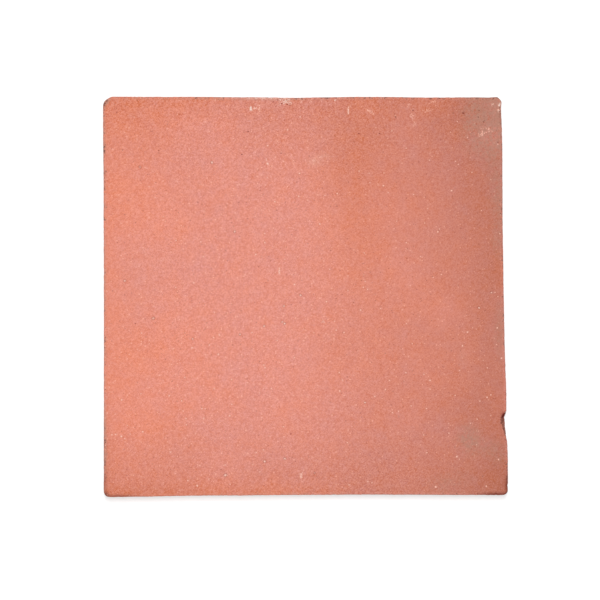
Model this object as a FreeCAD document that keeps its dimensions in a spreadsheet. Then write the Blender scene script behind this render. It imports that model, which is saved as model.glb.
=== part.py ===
# Terracotta floor tile: one fired clay slab, a little out of square, with worn corners and a chipped edge.
# Millimetres, +Z up. The origin is the middle of the bedding face, the wear face looks up and the front
# edge faces -Y.
import FreeCAD
import Part
import Sketcher

import math
import os

# Driving dimensions: alias, size in millimetres, what it measures.
SIZES = [
    ("front_length", 202.1, "front edge along X, from corner to corner"),
    ("back_length", 199.0, "back edge along X, from corner to corner"),
    ("left_length", 200.0, "left edge along Y, from corner to corner"),
    ("front_skew", 0.7, "rise of the front edge towards +Y, from left to right"),
    ("back_skew", 0.5, "drop of the back edge towards -Y, from left to right"),
    ("slab_thickness", 20.0, "bedding face to wear face"),
    ("front_bow", 0.6, "how far firing has drawn in the middle of the front edge"),
    ("right_bow", 0.6, "the same on the right edge"),
    ("back_bow", 0.2, "the same on the back edge"),
    ("left_bow", 0.3, "the same on the left edge"),
    ("front_left_round", 3.0, "radius of the front left corner"),
    ("front_right_round", 2.6, "radius of the front right corner"),
    ("back_right_wear_x", 2.2, "worn back right corner, along the back edge"),
    ("back_right_wear_y", 2.2, "worn back right corner, along the right edge"),
    ("back_right_round", 2.0, "radius at both ends of that worn corner"),
    ("back_left_wear_x", 4.0, "worn back left corner, along the back edge"),
    ("back_left_wear_y", 2.2, "worn back left corner, along the left edge"),
    ("back_left_round", 4.5, "radius at both ends of that worn corner"),
    ("top_arris", 0.7, "radius round the wear face"),
    ("bottom_arris", 0.5, "radius round the bedding face"),
    ("chip_from_front", 38.5, "deepest point of the chip, along Y from the front right corner"),
    ("chip_run_back", 4.1, "length of the chip behind its deepest point"),
    ("chip_run_front", 11.9, "length of the chip in front of its deepest point"),
    ("chip_top_depth", 3.1, "depth of the chip on the wear face"),
    ("chip_waist_depth", 1.35, "depth of the chip where it has narrowed"),
    ("chip_foot_depth", 1.05, "depth of the chip on the bedding face"),
    ("chip_waist_drop", 7.0, "how far below the wear face the chip has narrowed"),
    ("chip_hollow", 0.17, "hollowing of the chip's two sides, as a share of its depth"),
    ("chip_overrun", 0.6, "how far the cut for the chip reaches out of the right edge"),
]

# The right edge, from the front corner to the back one, and the chip's place along it.
RIGHT_LEAN = "(Sizes.front_length - Sizes.back_length)"
RIGHT_HEIGHT = "(Sizes.left_length - Sizes.front_skew - Sizes.back_skew)"
CHIP_PLACE = f"(Sizes.chip_from_front / {RIGHT_HEIGHT})"
CHIP_BOW = f"(4 * Sizes.right_bow * {CHIP_PLACE} * (1 - {CHIP_PLACE}))"

# A point of a sketch is an element and one of its ends, which the sketcher counts from 1. A hollow edge is
# an arc that runs clockwise, so its own end is where the edge starts.
START, END = range(1, 3)
EDGE_START, EDGE_END = END, START
SKETCH_ORIGIN = (-1, START)

doc = FreeCAD.newDocument("TerracottaFloorTile")


def make_sheet():
    """The spreadsheet of driving dimensions; every later size is bound to its cells."""
    sheet = doc.addObject("Spreadsheet::Sheet", "Sizes")
    for row, (alias, size, meaning) in enumerate(SIZES, start=1):
        sheet.set(f"A{row}", meaning)
        sheet.set(f"B{row}", str(size))
        sheet.setAlias(f"B{row}", alias)
    doc.recompute()
    return sheet


def flat_sketch(body, name, height="0"):
    """An empty sketch on the body's XY plane, lifted to a height that is an expression."""
    sketch = body.newObject("Sketcher::SketchObject", name)
    plane = next(f for f in body.Origin.OriginFeatures if f.Role == "XY_Plane")
    sketch.AttachmentSupport = [(plane, "")]
    sketch.MapMode = "FlatFace"
    sketch.setExpression("AttachmentOffset.Base.z", height)
    return sketch


def constrain(sketch, *terms):
    """Adds one constraint."""
    return sketch.addConstraint(Sketcher.Constraint(*terms))


def bind_distance(sketch, axis, first, second, expression):
    """Dimensions the way from one point to another along X or Y, and binds it to the spreadsheet."""
    step = sketch.getPoint(*second) - sketch.getPoint(*first)
    value = step.x if axis == "X" else step.y
    index = constrain(sketch, f"Distance{axis}", *first, *second, value)
    sketch.setExpression(f"Constraints[{index}]", expression)


def bind_radius(sketch, arc, expression):
    """Dimensions an arc's radius, and binds it to the spreadsheet."""
    index = constrain(sketch, "Radius", arc, sketch.Geometry[arc].Radius)
    sketch.setExpression(f"Constraints[{index}]", expression)


def bind_rise(sketch, arc, across, along, rise):
    """Binds an arc's radius so that its middle stands off its chord, given by two lengths, by the rise."""
    half_chord_squared = f"({across}^2 + {along}^2) / 4"
    bind_radius(sketch, arc, f"({half_chord_squared} + ({rise})^2) / (2 * {rise})")


def add_point(sketch, place):
    """A construction point."""
    return sketch.addGeometry(Part.Point(place), True), START


def worn_room(wear, other_wear, radius):
    """How much of an edge a worn corner takes: the wear itself, and the round between edge and slant."""
    turn = math.atan2(other_wear, wear)
    return wear + radius * math.tan(turn / 2)


def add_hollow_edge(sketch, first, last, bow, first_room, last_room):
    """An arc through two corners, drawn short of both by their rooms, its middle drawn in by the bow."""
    start = sketch.getPoint(*first)
    end = sketch.getPoint(*last)
    along = (end - start).normalize()
    inward = FreeCAD.Vector(0, 0, 1).cross(along)
    middle = (start + end) / 2 + inward * bow
    edge = sketch.addGeometry(Part.Arc(start + along * first_room, middle, end - along * last_room), False)
    constrain(sketch, "PointOnObject", *first, edge)
    constrain(sketch, "PointOnObject", *last, edge)
    return edge


def round_corner(sketch, before, after, corner, radius):
    """An arc from the end of one edge to the start of the next, tangent to both."""
    start = sketch.getPoint(*before)
    end = sketch.getPoint(*after)
    middle = ((start + end) / 2 + sketch.getPoint(*corner)) / 2
    arc = sketch.addGeometry(Part.Arc(start, middle, end), False)
    constrain(sketch, "Tangent", *before, arc, START)
    constrain(sketch, "Tangent", arc, END, *after)
    bind_radius(sketch, arc, radius)


def add_wear_point(sketch, sheet, edge, corner, axis, alias):
    """A construction point of an edge, as far from its corner along one axis as the sheet says."""
    way = FreeCAD.Vector(1, 0) if axis == "X" else FreeCAD.Vector(0, 1)
    place = sketch.getPoint(*corner)
    if place.dot(way) > 0:
        point = add_point(sketch, place - way * sheet.get(alias))
        bind_distance(sketch, axis, point, corner, f"Sizes.{alias}")
    else:
        point = add_point(sketch, place + way * sheet.get(alias))
        bind_distance(sketch, axis, corner, point, f"Sizes.{alias}")
    constrain(sketch, "PointOnObject", *point, edge)
    return point


def wear_corner(sketch, before, after, first, second, radius):
    """A slanting line through a point of each edge takes off a corner, and is rounded into both edges."""
    start = sketch.getPoint(*first)
    end = sketch.getPoint(*second)
    along = (end - start).normalize()
    slant_start = start + along * start.distanceToPoint(sketch.getPoint(*before))
    slant_end = end - along * end.distanceToPoint(sketch.getPoint(*after))
    slant = sketch.addGeometry(Part.LineSegment(slant_start, slant_end), False)
    constrain(sketch, "PointOnObject", *first, slant)
    constrain(sketch, "PointOnObject", *second, slant)
    round_corner(sketch, before, (slant, START), first, radius)
    round_corner(sketch, (slant, END), after, second, radius)


def draw_outline(body, sheet):
    """Four hollow edges a little out of square; the front corners are rounded and the back ones are worn."""
    sketch = flat_sketch(body, "Outline")
    left = -sheet.front_length / 2
    front = -sheet.left_length / 2
    front_left = add_point(sketch, FreeCAD.Vector(left, front))
    front_right = add_point(sketch, FreeCAD.Vector(-left, front + sheet.front_skew))
    back_right = add_point(sketch, FreeCAD.Vector(left + sheet.back_length, -front - sheet.back_skew))
    back_left = add_point(sketch, FreeCAD.Vector(left, -front))
    constrain(sketch, "Vertical", *front_left, *back_left)
    bind_distance(sketch, "X", front_left, SKETCH_ORIGIN, "Sizes.front_length / 2")
    bind_distance(sketch, "Y", front_left, SKETCH_ORIGIN, "Sizes.left_length / 2")
    bind_distance(sketch, "X", front_left, front_right, "Sizes.front_length")
    bind_distance(sketch, "Y", front_left, front_right, "Sizes.front_skew")
    bind_distance(sketch, "Y", front_left, back_left, "Sizes.left_length")
    bind_distance(sketch, "X", back_left, back_right, "Sizes.back_length")
    bind_distance(sketch, "Y", back_right, back_left, "Sizes.back_skew")

    front_left_room = sheet.front_left_round
    front_right_room = sheet.front_right_round
    right_room = worn_room(sheet.back_right_wear_y, sheet.back_right_wear_x, sheet.back_right_round)
    back_right_room = worn_room(sheet.back_right_wear_x, sheet.back_right_wear_y, sheet.back_right_round)
    back_left_room = worn_room(sheet.back_left_wear_x, sheet.back_left_wear_y, sheet.back_left_round)
    left_room = worn_room(sheet.back_left_wear_y, sheet.back_left_wear_x, sheet.back_left_round)
    front_edge = add_hollow_edge(
        sketch, front_left, front_right, sheet.front_bow, front_left_room, front_right_room)
    right_edge = add_hollow_edge(
        sketch, front_right, back_right, sheet.right_bow, front_right_room, right_room)
    back_edge = add_hollow_edge(
        sketch, back_right, back_left, sheet.back_bow, back_right_room, back_left_room)
    left_edge = add_hollow_edge(
        sketch, back_left, front_left, sheet.left_bow, left_room, front_left_room)
    bind_rise(sketch, front_edge, "Sizes.front_length", "Sizes.front_skew", "Sizes.front_bow")
    bind_rise(sketch, right_edge, RIGHT_LEAN, RIGHT_HEIGHT, "Sizes.right_bow")
    bind_rise(sketch, back_edge, "Sizes.back_length", "Sizes.back_skew", "Sizes.back_bow")
    bind_rise(sketch, left_edge, "Sizes.left_length", "0", "Sizes.left_bow")

    round_corner(sketch, (left_edge, EDGE_END), (front_edge, EDGE_START), front_left,
                 "Sizes.front_left_round")
    round_corner(sketch, (front_edge, EDGE_END), (right_edge, EDGE_START), front_right,
                 "Sizes.front_right_round")
    right_wear = add_wear_point(sketch, sheet, right_edge, back_right, "Y", "back_right_wear_y")
    back_wear = add_wear_point(sketch, sheet, back_edge, back_right, "X", "back_right_wear_x")
    wear_corner(sketch, (right_edge, EDGE_END), (back_edge, EDGE_START), right_wear, back_wear,
                "Sizes.back_right_round")
    back_wear = add_wear_point(sketch, sheet, back_edge, back_left, "X", "back_left_wear_x")
    left_wear = add_wear_point(sketch, sheet, left_edge, back_left, "Y", "back_left_wear_y")
    wear_corner(sketch, (back_edge, EDGE_END), (left_edge, EDGE_START), back_wear, left_wear,
                "Sizes.back_left_round")
    return sketch


def pad_slab(body, outline):
    """The slab at its full thickness, on its bedding face."""
    slab = body.newObject("PartDesign::Pad", "Slab")
    slab.Profile = outline
    slab.setExpression("Length", "Sizes.slab_thickness")
    doc.recompute()
    return slab


def edges_at(feature, height):
    """Names of the edges that lie flat at one height."""
    names = []
    for number, edge in enumerate(feature.Shape.Edges, start=1):
        if all(abs(vertex.Point.z - height) < 1e-6 for vertex in edge.Vertexes):
            names.append(f"Edge{number}")
    return names


def round_arris(body, base, name, height, radius):
    """Rounds every edge that lies at one height."""
    arris = body.newObject("PartDesign::Fillet", name)
    arris.Base = (base, edges_at(base, height))
    arris.setExpression("Radius", radius)
    doc.recompute()
    return arris


def draw_chip_section(body, sheet, name, height, depth):
    """The chip at one height: two hollow sides that meet at its deepest point, closed outside the edge."""
    sketch = flat_sketch(body, name, height)
    outside = sheet.front_length / 2
    deepest_y = sheet.chip_from_front - sheet.left_length / 2
    back = FreeCAD.Vector(outside, deepest_y + sheet.chip_run_back)
    deepest = FreeCAD.Vector(outside - sheet.get(depth), deepest_y)
    front = FreeCAD.Vector(outside, deepest_y - sheet.chip_run_front)
    bulge = FreeCAD.Vector(-sheet.chip_hollow * sheet.get(depth), 0)
    back_side = sketch.addGeometry(Part.Arc(back, (back + deepest) / 2 + bulge, deepest), False)
    front_side = sketch.addGeometry(Part.Arc(deepest, (deepest + front) / 2 + bulge, front), False)
    closing = sketch.addGeometry(Part.LineSegment(front, back), False)
    constrain(sketch, "Coincident", back_side, END, front_side, START)
    constrain(sketch, "Coincident", front_side, END, closing, START)
    constrain(sketch, "Coincident", closing, END, back_side, START)
    constrain(sketch, "Vertical", closing)

    reach = f"(Sizes.{depth} + Sizes.chip_overrun)"
    hollow = f"(Sizes.chip_hollow * Sizes.{depth})"
    edge_x = f"(Sizes.front_length / 2 - {RIGHT_LEAN} * {CHIP_PLACE} - {CHIP_BOW})"
    corner_y = "(Sizes.left_length / 2 - Sizes.front_skew)"
    bind_distance(sketch, "X", SKETCH_ORIGIN, (front_side, START), f"{edge_x} - Sizes.{depth}")
    bind_distance(sketch, "Y", (front_side, START), SKETCH_ORIGIN, f"{corner_y} - Sizes.chip_from_front")
    bind_distance(sketch, "X", (front_side, START), (closing, START), reach)
    bind_distance(sketch, "Y", (front_side, START), (closing, END), "Sizes.chip_run_back")
    bind_distance(sketch, "Y", (closing, START), (front_side, START), "Sizes.chip_run_front")
    bind_rise(sketch, back_side, reach, "Sizes.chip_run_back", hollow)
    bind_rise(sketch, front_side, reach, "Sizes.chip_run_front", hollow)
    return sketch


def chip_edge(body, sheet):
    """The chip in the right edge: wide on the wear face, narrower below, and broken right through."""
    wear_face = "Sizes.slab_thickness"
    waist = f"{wear_face} - Sizes.chip_waist_drop"
    chip = body.newObject("PartDesign::SubtractiveLoft", "Chip")
    chip.Profile = draw_chip_section(body, sheet, "ChipTop", wear_face, "chip_top_depth")
    chip.Sections = [
        draw_chip_section(body, sheet, "ChipWaist", waist, "chip_waist_depth"),
        draw_chip_section(body, sheet, "ChipFoot", "0", "chip_foot_depth"),
    ]
    doc.recompute()
    return chip


def check_document():
    """Stops when an object failed to solve or to recompute, or a shape is missing or faulty."""
    for item in doc.Objects:
        if {"Invalid", "Error"} & set(item.State):
            raise ValueError(f"{item.Name} is {item.State}")
        if item.isDerivedFrom("PartDesign::Feature") and (item.Shape.isNull() or not item.Shape.isValid()):
            raise ValueError(f"{item.Name} has no valid shape")


sheet = make_sheet()
tile = doc.addObject("PartDesign::Body", "Tile")
tile.Label = "tile"
slab = pad_slab(tile, draw_outline(tile, sheet))
worn_top = round_arris(tile, slab, "TopArris", sheet.slab_thickness, "Sizes.top_arris")
worn_bottom = round_arris(tile, worn_top, "BottomArris", 0.0, "Sizes.bottom_arris")
chip_edge(tile, sheet)
check_document()

os.makedirs("parts", exist_ok=True)
tile.Shape.exportStep(f"parts/{tile.Label}.step")
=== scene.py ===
"""A worn, handmade terracotta floor tile, lying flat on a white floor and seen from straight above."""

import math
from collections import namedtuple

import bpy
import numpy as np
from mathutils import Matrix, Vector, geometry, kdtree, noise
from mathutils.bvhtree import BVHTree


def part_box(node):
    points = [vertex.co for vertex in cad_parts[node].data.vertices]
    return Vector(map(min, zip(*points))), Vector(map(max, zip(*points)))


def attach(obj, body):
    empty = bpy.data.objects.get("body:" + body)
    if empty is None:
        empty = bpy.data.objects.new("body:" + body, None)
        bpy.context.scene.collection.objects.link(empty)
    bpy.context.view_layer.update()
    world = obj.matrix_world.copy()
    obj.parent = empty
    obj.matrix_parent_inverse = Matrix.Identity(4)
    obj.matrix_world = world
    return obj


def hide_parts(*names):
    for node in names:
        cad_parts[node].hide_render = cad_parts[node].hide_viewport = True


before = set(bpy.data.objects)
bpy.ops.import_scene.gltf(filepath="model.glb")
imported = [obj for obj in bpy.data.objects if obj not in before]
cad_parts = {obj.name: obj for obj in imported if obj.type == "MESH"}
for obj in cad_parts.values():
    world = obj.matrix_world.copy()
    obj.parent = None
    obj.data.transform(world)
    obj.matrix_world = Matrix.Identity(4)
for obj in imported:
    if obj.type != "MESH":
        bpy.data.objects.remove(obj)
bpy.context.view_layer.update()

# Shapes are worked out in millimetres, in the tile's own frame, and made in metres.
MM = 0.001
SEED = 21

# How finely the slab is divided.
COLUMN_STEP = 0.5
CHIP_COLUMN_STEP = 0.25
CORNER_FAN = 7.0
SIDE_ROWS = 11
ARRIS_ROWS = 5
FACE_STEP = 1.5
UNDERSIDE_STEP = 3.0
FACE_RINGS = ((0.4, 1), (0.9, 1), (1.6, 2), (2.6, 2))
UNDERSIDE_RINGS = ((0.8, 2), (2.0, 3))
GRID_INSET = 3.4
GRID_ROW = math.sqrt(0.75)
CAST_MARGIN = 0.002
SHARP_ANGLE = math.radians(55)

# What the triangulation of a face keeps, the inside of its ring, and how close points are that count as one.
KEEP_INSIDE = 1
SAME_POINT = 1e-5

# The arrises that the solid has, and the stretch of its right edge that holds the chip.
TOP_ARRIS = 0.7
BOTTOM_ARRIS = 0.5
CHIP_FRONT = -74.5
CHIP_BACK = -55.0

# How far in from the whole edge the chip's broken face begins, and where it is fully broken.
BROKEN_DEPTHS = (0.12, 0.45)

# Sides of the tile, in the order in which the columns run round it.
FRONT, RIGHT, BACK, LEFT = range(4)

# Relief of the fired clay, pressed in from the solid and, in the chip, both ways: depth and size of features.
FACE_SWELL, FACE_SWELL_SIZE = 0.16, 42.0
FACE_RIPPLE, FACE_RIPPLE_SIZE = 0.05, 9.0
SIDE_SWELL, SIDE_SWELL_SIZE = 0.14, 16.0
SIDE_ROUGH, SIDE_ROUGH_SIZE = 0.18, 2.4
SIDE_DRAG, SIDE_DRAG_SIZE = 0.12, np.array([24.0, 24.0, 1.5])
ARRIS_WEAR, ARRIS_WEAR_SIZE = 0.25, 4.0
ARRIS_NICKS, ARRIS_NICKS_SIZE = 0.4, 1.3
CHIP_ROUGH, CHIP_ROUGH_SIZE = 0.4, 1.6
DIRT_NICKS = 0.25

# Levels of the noise above which a side is rough, and at which a nick begins and is deepest.
ROUGH_LEVEL = 0.35
NICK_LEVELS = (0.5, 0.9)

# Channels of the relief's noise, and how far apart they lie.
(WEAR_NOISE, FACE_SWELL_NOISE, FACE_RIPPLE_NOISE, SIDE_SWELL_NOISE,
 SIDE_ROUGH_NOISE, SIDE_DRAG_NOISE, CHIP_NOISE, NICK_NOISE) = range(1, 9)
CHANNEL_SHIFT = (13.7, 7.9, 3.1)

# How far wear reaches from the arris, and how far its stains reach in over the face.
WEAR_REACH = 1.0
STAIN_REACH = 0.42

# Drops below the wear face, from where an effect is none to where it is full.
STAIN_DROPS = (4.0, 1.2)
ARRIS_SHADE_DROPS = (6.0, 1.0)
SMEAR_DROPS = (3.0, 1.0)
GRIME_DROPS = (12.0, 1.0)
SPECK_DROPS = (TOP_ARRIS, TOP_ARRIS / 2)
SWELL_DROPS = (15.0, 0.0)
PIT_DROPS = (0.6, 0.0)
DRAG_DROPS = (0.5, 4.0)

# Heights above the floor, from where the sides are still even to where they have their full relief.
FOOT_HEIGHTS = (0.0, 1.2)

# A soft cloud seen from above: centre, half-widths and strength.
Cloud = namedtuple("Cloud", "x y half_x half_y amount")

# Clay that fired more orange (above zero) or more pink (below zero).
TINT_BASE = 0.35
TINT_CLOUDS = (
    Cloud(-104, 0, 12, 200, 0.40),
    Cloud(-80, 52, 14, 16, 0.20),
    Cloud(-70, 35, 12, 8, 0.20),
    Cloud(-86, 8, 9, 12, -0.15),
    Cloud(-72, -27, 20, 16, 0.32),
    Cloud(-75, -66, 13, 11, 0.36),
    Cloud(-72, -90, 22, 7, 0.15),
    Cloud(-80, 92, 22, 12, 0.36),
    Cloud(-55, 100, 14, 4, 0.33),
    Cloud(-50, -101, 38, 7, 0.53),
    Cloud(26, 50, 12, 32, 0.42),
    Cloud(40, 20, 6, 5, 0.15),
    Cloud(40, -25, 24, 22, 0.18),
    Cloud(42, 100, 26, 9, 0.25),
    Cloud(56, 44, 10, 10, 0.12),
    Cloud(60, 5, 14, 10, 0.18),
    Cloud(66, -36, 10, 8, 0.15),
    Cloud(97, 10, 5, 6, 0.20),
    Cloud(94, -88, 7, 5, 0.16),
    Cloud(9, -97, 5, 5, 0.18),
)

# Darker and redder (above zero) or paler (below zero) clay: the broad clouds towards the right side and the
# front and back edges are painted shade, partly also fired tone; the small clouds are tone that fired
# unevenly.
DARK_BASE = 0.12
DARK_CLOUDS = (
    Cloud(125, 0, 48, 200, 0.74),
    Cloud(38, 0, 20, 200, 0.13),
    Cloud(25, 58, 10, 32, 0.17),
    Cloud(90, 48, 18, 22, 0.08),
    Cloud(0, -125, 300, 28, 0.43),
    Cloud(-60, -125, 40, 28, 0.19),
    Cloud(65, -106, 35, 8, -0.13),
    Cloud(0, 115, 300, 28, 0.31),
    Cloud(-84, 88, 22, 18, 0.09),
    Cloud(-70, 101, 26, 5, 0.05),
    Cloud(-55, 86, 10, 8, -0.08),
    Cloud(-105, 0, 12, 200, 0.13),
    Cloud(-80, -25, 18, 14, 0.08),
    Cloud(-75, 42, 22, 16, 0.06),
    Cloud(-70, -68, 10, 10, 0.10),
    Cloud(96, 10, 6, 6, 0.08),
    Cloud(88, -60, 14, 8, 0.07),
    Cloud(94, -90, 9, 6, 0.04),
    Cloud(75, 97, 12, 10, 0.05),
    Cloud(-42, -86, 9, 9, -0.09),
    Cloud(70, -8, 7, 6, -0.13),
    Cloud(91, 80, 6, 5, -0.13),
    Cloud(50, 12, 8, 12, -0.08),
    Cloud(50, 84, 6, 8, -0.08),
    Cloud(40, 40, 6, 6, -0.06),
    Cloud(80, 22, 6, 12, -0.05),
    Cloud(98, 0, 4, 8, -0.05),
    Cloud(99, -30, 3, 6, -0.08),
    Cloud(96, -55, 4, 8, -0.08),
    Cloud(-54, 99, 8, 4, 0.07),
    Cloud(14, 68, 8, 18, 0.06),
    Cloud(16, -24, 8, 8, 0.06),
    Cloud(-78, -104, 26, 7, 0.17),
    Cloud(-101, -75, 4, 18, 0.09),
    Cloud(50, -60, 6, 6, -0.07),
    Cloud(50, -88, 5, 6, -0.06),
    Cloud(66, 97, 9, 5, -0.08),
    Cloud(30, 94, 5, 5, -0.07),
    Cloud(80, -25, 5, 8, -0.05),
    Cloud(97, 97, 5, 5, -0.22),
    Cloud(97, 42, 5, 22, -0.04),
    Cloud(96, 80, 4, 5, -0.12),
    Cloud(-40, 82, 6, 14, -0.06),
    Cloud(-16, -38, 8, 20, -0.03),
    Cloud(97, -84, 5, 8, 0.05),
    Cloud(8, -93, 6, 6, 0.05),
)

# How strongly the clay's fine grain shows: calmer to the right and left, stronger along the back and front.
GRAIN_BASE = 1.0
GRAIN_CLOUDS = (
    Cloud(105, 0, 48, 200, -0.46),
    Cloud(45, 45, 20, 30, -0.12),
    Cloud(92, 86, 12, 14, 0.30),
    Cloud(-100, -20, 16, 70, -0.15),
    Cloud(-30, 102, 55, 16, 0.28),
    Cloud(12, -100, 30, 12, 0.15),
)

# Painted light on the arris: how much less dark the clay is where its rounding turns away from the lamp.
ARRIS_PAINTED_LIGHT = 0.25

# Grey darkening along the rim, partly dirt and partly painted shade where the arris turns away from the lamp:
# its clouds, how far in over the face it reaches, and how much it darkens the clay.
RIM_DIRT_AND_SHADE = (
    Cloud(-101, 0, 3, 200, 0.36),
    Cloud(-101, -72, 3, 9, 0.25),
    Cloud(-25, 100, 65, 3, 0.36),
    Cloud(0, -99.5, 75, 3, 0.22),
)
RIM_REACH = 0.8
RIM_DARK = 0.3

# Pale smears of lime on the wear face and its back arris.
SMEARS = (
    Cloud(4.5, 67.3, 2.6, 1.6, 0.11),
    Cloud(9.6, 69.9, 2.6, 1.0, 0.08),
    Cloud(77.8, -30.0, 1.2, 2.6, 0.05),
    Cloud(-20.0, 99.0, 9.0, 0.5, 0.12),
)

# Grey dirt trodden into the wear face.
GRIME_CLOUDS = (
    Cloud(97, 90, 9, 14, 0.58),
    Cloud(83, 90, 4.5, 9, 0.32),
    Cloud(89, 74, 6, 6, 0.20),
    Cloud(96.5, 52, 4, 10, 0.38),
    Cloud(96, 28, 3, 7, 0.28),
    Cloud(97.5, -17, 3, 12, 0.34),
    Cloud(81, -71, 4.5, 5.5, 0.50),
    Cloud(90, -75, 5, 3.5, 0.18),
    Cloud(96, -79, 4, 5, 0.25),
    Cloud(66, -94, 6, 3.5, 0.18),
    Cloud(77, -91, 8, 6, 0.16),
    Cloud(-99.2, 97.4, 1.0, 1.0, 0.35),
)

# Grey-brown dirt in the nicks of the arris: everywhere a little, more (above zero) or less (below) in places.
ARRIS_GRIT = 0.20
ARRIS_DIRT = (
    Cloud(-101, 73.5, 2, 2.0, 0.35),
    Cloud(-101, 62.6, 2, 0.7, 0.35),
    Cloud(-101, 54.0, 2, 2.5, 0.05),
    Cloud(-101, 38.9, 2, 1.5, 0.2),
    Cloud(-101, -21.8, 2, 3.0, 0.12),
    Cloud(-101, -73.2, 2, 2.2, 0.2),
    Cloud(-101, -83.1, 2, 0.7, 0.5),
    Cloud(-99.6, 96.6, 0.9, 0.9, 0.6),
    Cloud(-101, 93.0, 2, 1.5, 0.25),
    Cloud(91, 100, 3, 2, 0.2),
    Cloud(101, -88, 2, 8, 0.18),
    Cloud(10.3, 100, 1.5, 2, 0.3),
    Cloud(-54.2, 100, 0.8, 2, 0.3),
    Cloud(40, 100, 45, 2, 0.15),
    Cloud(99, 10, 2, 40, 0.08),
    Cloud(-10, -99.5, 60, 3, -0.15),
)

# Dark red-brown on the arris: painted shade where the rounded arris near the front corners turns away from
# the lamp, painted shadow on the rim of the chip, and a dark rim at the back right corner.
ARRIS_SHADE = (
    Cloud(-100.5, -92.5, 0.7, 4.0, 0.45),
    Cloud(-99.8, -98.6, 1.0, 0.9, 0.7),
    Cloud(-93, -99.4, 6.0, 0.5, 0.6),
    Cloud(95, -98.7, 6.5, 0.5, 0.9),
    Cloud(100.4, -94.5, 0.6, 4.5, 0.8),
    Cloud(97.5, 90.4, 0.5, 1.2, 0.25),
    Cloud(97.3, -60.8, 0.5, 2.0, 0.3),
)

# Where the sides lie further in (above zero) or out (below zero) than the solid's even curves.
SIDE_SHAPE = (
    Cloud(-8, 99.5, 10, 3, 0.28),
    Cloud(71, 99.3, 10, 3, 0.16),
    Cloud(90, 99.2, 2, 2, 0.15),
    Cloud(-57, 99.6, 5, 3, -0.12),
    Cloud(42, 99.5, 6, 3, -0.13),
    Cloud(27, 99.5, 9, 3, -0.20),
    Cloud(97, 93.5, 2, 3.0, 0.40),
    Cloud(96.2, 98.4, 1.2, 1.2, -0.20),
    Cloud(97, 89, 3, 4, 0.15),
    Cloud(98, 64, 4, 8, -0.13),
    Cloud(98, 34, 4, 7, 0.12),
    Cloud(99, 0, 5, 20, 0.07),
    Cloud(99.5, -47, 5, 6, -0.25),
    Cloud(100.5, -79, 5, 5, -0.22),
    Cloud(100.6, -96.5, 2, 2, 0.30),
    Cloud(100.4, -94.2, 1, 0.6, 0.20),
    Cloud(34, -98.6, 26, 3, 0.12),
    Cloud(-53, -99.4, 8, 3, 0.15),
    Cloud(-100.4, 0, 5, 60, -0.06),
    Cloud(-99.8, 84, 4, 10, -0.15),
    Cloud(-98.2, 98.6, 1.2, 0.9, 0.30),
)

# How far in over the face the points follow the sides.
SHAPE_REACH = 4.0

# Painted shadow at the sheltered end of the chip, where its steep end wall faces away from the lamp.
CHIP_SHADOW = (Cloud(98.5, -59.5, 0.55, 0.9, 1.8),)

# A speck in the wear face: centre, half-length, half-width, turn, depth, and how sandy, limed or dark it is.
Speck = namedtuple("Speck", "x y long short turn depth sand lime soot")

# Pale marks made of flecks: centre, spread along and across, turn, number and size of flecks, sand and lime.
Mark = namedtuple("Mark", "x y along across turn flecks size sand lime")
MARKS = (
    Mark(-9.6, 97.4, 2.9, 1.5, 0.0, 38, 0.50, 0.6, 0.6),
    Mark(-19.2, 99.2, 12.0, 0.35, 0.0, 50, 0.48, 0.6, 0.5),
    Mark(-27.3, 93.5, 0.9, 0.3, 1.57, 18, 0.60, 0.3, 1.0),
    Mark(-24.9, 94.2, 1.2, 0.9, 0.0, 8, 0.48, 0.9, 0.3),
    Mark(-23.0, 93.4, 1.8, 0.3, 1.57, 9, 0.48, 0.9, 0.1),
    Mark(-2.4, 97.1, 0.7, 0.4, 0.5, 5, 0.50, 0.8, 0.1),
    Mark(2.7, 98.0, 0.6, 0.4, 0.0, 4, 0.45, 0.8, 0.1),
    Mark(21.3, 93.1, 1.7, 0.2, 1.6, 16, 0.52, 1.0, 0.35),
    Mark(14.8, 98.1, 0.5, 0.3, 0.0, 5, 0.42, 0.6, 0.7),
    Mark(32.1, 92.0, 2.4, 0.9, -0.5, 22, 0.48, 0.9, 0.0),
    Mark(51.4, 95.4, 1.0, 0.6, 0.6, 8, 0.45, 0.7, 0.0),
    Mark(53.0, 90.6, 3.0, 0.9, 1.7, 20, 0.42, 0.75, 0.08),
    Mark(54.4, 86.0, 1.6, 0.7, 1.4, 13, 0.42, 0.7, 0.0),
    Mark(60.1, 92.4, 3.0, 1.0, 0.2, 18, 0.42, 0.8, 0.0),
    Mark(63.4, 97.2, 1.9, 0.6, 0.4, 16, 0.46, 0.9, 0.0),
    Mark(-18.9, 66.5, 0.5, 0.3, 1.3, 8, 0.55, 1.0, 0.3),
    Mark(-19.5, 68.2, 0.8, 0.4, 1.4, 5, 0.42, 0.5, 0.2),
    Mark(4.0, 67.4, 1.9, 1.3, 0.2, 12, 0.46, 0.6, 0.1),
    Mark(8.7, 69.9, 1.8, 0.6, 0.3, 8, 0.46, 0.35, 0.1),
    Mark(-2.4, -89.1, 1.1, 0.7, 1.5, 12, 0.62, 0.8, 0.25),
    Mark(-13.1, 12.5, 1.3, 0.2, 1.57, 13, 0.52, 0.9, 0.25),
    Mark(8.3, -12.2, 0.8, 0.7, 0.0, 7, 0.50, 0.1, 0.35),
    Mark(88.0, 81.2, 1.9, 1.4, 1.2, 22, 0.48, 1.0, 0.05),
    Mark(91.0, 83.1, 1.3, 0.7, -0.6, 10, 0.45, 1.0, 0.1),
    Mark(97.0, 95.8, 0.9, 0.4, 1.4, 12, 0.50, 0.4, 0.9),
    Mark(96.5, 95.2, 0.5, 0.3, 1.4, 5, 0.50, 1.0, 0.1),
    Mark(96.4, 93.0, 0.6, 0.4, 0.3, 7, 0.50, 1.0, 0.1),
    Mark(96.9, 92.4, 0.4, 0.3, 1.4, 4, 0.45, 0.4, 0.8),
    Mark(92.9, 95.8, 1.1, 0.6, 0.6, 10, 0.45, 0.7, 0.3),
)

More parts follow.
